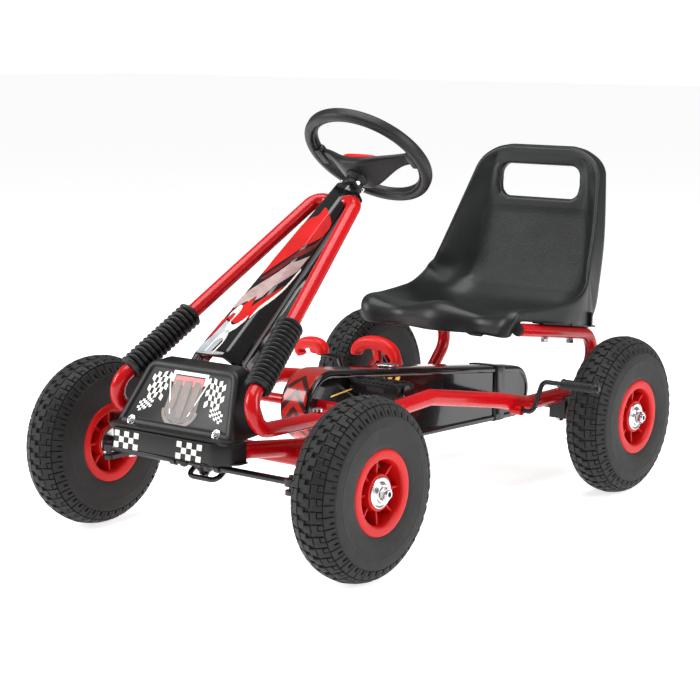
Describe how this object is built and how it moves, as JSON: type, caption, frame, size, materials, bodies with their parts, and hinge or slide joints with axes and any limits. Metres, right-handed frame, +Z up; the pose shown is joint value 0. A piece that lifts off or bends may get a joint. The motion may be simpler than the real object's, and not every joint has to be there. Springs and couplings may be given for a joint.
{
  "type": "pedal go kart",
  "caption": "Child's pedal go kart: bent tube frame, bucket seat, steering wheel with linked front wheels, enclosed chain drive to the rear axle, hand brake.",
  "frame": {"origin": "on the ground, below the middle of the kart's box", "axes": "+Z up, -Y to the front of the kart, +X to the rider's left"},
  "size_m": [0.6108, 0.978, 0.6335],
  "materials": {
    "red_paint": "gloss powder coat",
    "black_paint": "satin powder coat",
    "black_rubber": "matt",
    "tyre": "matt",
    "red_plastic": "semi-gloss",
    "black_plastic": "satin",
    "seat_plastic": "fine texture",
    "gloss_cover": "gloss with printed panels",
    "zinc": "bright zinc",
    "chain_steel": "oiled",
    "nylon": "matt"
  },
  "bodies": {
    "frame": {"main_frame": "red_paint", "steering_hoop": "red_paint", "bellows_left": "black_rubber", "bellows_right": "black_rubber", "column_hanger": "black_paint", "axle_brackets": "black_paint", "axle_bearings": "nylon", "kingpins": "zinc", "nose_shell": "black_plastic", "bumper_plate": "black_plastic", "panel_screws": "zinc", "steering_cover": "gloss_cover", "chain_cover_front": "gloss_cover", "chain_cover_rear": "gloss_cover", "chain_cover_strap": "black_plastic", "chain": "chain_steel", "crank_bearings": "nylon", "seat_rail_left": "red_paint", "seat_rail_right": "red_paint", "rail_plugs": "black_plastic", "seat_shell": "seat_plastic", "bolts": "zinc"},
    "steering": {"steering_shaft": "black_paint", "steering_wheel": "black_plastic", "steering_hub": "black_plastic", "hub_cap": "red_plastic"},
    "knuckle_left": {"knuckle_left": "black_paint", "front_left_nut": "zinc"},
    "knuckle_right": {"knuckle_right": "black_paint", "front_right_nut": "zinc"},
    "tie_rod_left": {"tie_rod_left": "black_paint"},
    "tie_rod_right": {"tie_rod_right": "black_paint"},
    "front_left_wheel": {"front_left_tyre": "tyre", "front_left_rim": "red_plastic", "front_left_hub": "zinc", "front_left_valve": "black_rubber"},
    "front_right_wheel": {"front_right_tyre": "tyre", "front_right_rim": "red_plastic", "front_right_hub": "zinc", "front_right_valve": "black_rubber"},
    "rear_axle": {"rear_axle": "zinc", "rear_sprocket": "chain_steel", "rear_left_tyre": "tyre", "rear_left_rim": "red_plastic", "rear_left_hub": "zinc", "rear_right_tyre": "tyre", "rear_right_rim": "red_plastic", "rear_right_hub": "zinc", "rear_valves": "black_rubber", "rear_wheel_nuts": "zinc"},
    "crank": {"crank_axle": "black_paint", "chainring": "chain_steel"},
    "pedal_left": {"pedal_left": "black_plastic"},
    "pedal_right": {"pedal_right": "black_plastic"},
    "brake_lever": {"brake_lever": "black_paint", "brake_grip": "black_rubber"},
    "gear_lever": {"gear_lever": "black_paint", "gear_handle": "red_plastic"},
    "selector_lever": {"selector_lever": "black_paint", "selector_handle": "red_plastic"}
  },
  "joints": [
    {"name": "steer", "type": "hinge", "parent": "frame", "child": "steering", "pos_m": [0, -0.018, 0.56], "axis": [0, 0.6545, 0.7561], "range_deg": [-55, 55]},
    {"name": "kingpin_left", "type": "hinge", "parent": "frame", "child": "knuckle_left", "pos_m": [0.185, -0.359, 0.13], "axis": [0, 0, 1], "range_deg": [-25, 25]},
    {"name": "kingpin_right", "type": "hinge", "parent": "frame", "child": "knuckle_right", "pos_m": [-0.185, -0.359, 0.13], "axis": [0, 0, 1], "range_deg": [-25, 25]},
    {"name": "tie_rod_end_left", "type": "hinge", "parent": "knuckle_left", "child": "tie_rod_left", "pos_m": [0.176, -0.414, 0.138], "axis": [0, 0, 1], "range_deg": [-25, 25]},
    {"name": "tie_rod_end_right", "type": "hinge", "parent": "knuckle_right", "child": "tie_rod_right", "pos_m": [-0.176, -0.414, 0.138], "axis": [0, 0, 1], "range_deg": [-25, 25]},
    {"name": "front_left_spin", "type": "hinge", "parent": "knuckle_left", "child": "front_left_wheel", "pos_m": [0.256, -0.359, 0.13], "axis": [1, 0, 0], "continuous": true},
    {"name": "front_right_spin", "type": "hinge", "parent": "knuckle_right", "child": "front_right_wheel", "pos_m": [-0.256, -0.359, 0.13], "axis": [1, 0, 0], "continuous": true},
    {"name": "rear_axle_spin", "type": "hinge", "parent": "frame", "child": "rear_axle", "pos_m": [0, 0.334, 0.13], "axis": [1, 0, 0], "continuous": true},
    {"name": "crank_spin", "type": "hinge", "parent": "frame", "child": "crank", "pos_m": [0, -0.004, 0.16], "axis": [1, 0, 0], "continuous": true},
    {"name": "pedal_left_spin", "type": "hinge", "parent": "crank", "child": "pedal_left", "pos_m": [0.092, -0.094, 0.21408], "axis": [1, 0, 0], "continuous": true},
    {"name": "pedal_right_spin", "type": "hinge", "parent": "crank", "child": "pedal_right", "pos_m": [-0.092, 0.086, 0.10592], "axis": [1, 0, 0], "continuous": true},
    {"name": "brake_pivot", "type": "hinge", "parent": "frame", "child": "brake_lever", "pos_m": [0.168, 0.169, 0.15], "axis": [-1, 0, 0], "range_deg": [0, 9]},
    {"name": "gear_pivot", "type": "hinge", "parent": "frame", "child": "gear_lever", "pos_m": [-0.168, 0.169, 0.15], "axis": [1, 0, 0], "range_deg": [-12, 12]},
    {"name": "selector_pivot", "type": "hinge", "parent": "frame", "child": "selector_lever", "pos_m": [-0.095, 0.194, 0.15], "axis": [1, 0, 0], "range_deg": [-8, 8]}
  ],
  "couplings": [
    {"joint": "kingpin_left", "follows": "steer", "ratio": 0.45},
    {"joint": "kingpin_right", "follows": "steer", "ratio": 0.45},
    {"joint": "tie_rod_end_left", "follows": "steer", "ratio": -0.45},
    {"joint": "tie_rod_end_right", "follows": "steer", "ratio": -0.45},
    {"joint": "crank_spin", "follows": "rear_axle_spin", "ratio": 0.58333}
  ]
}
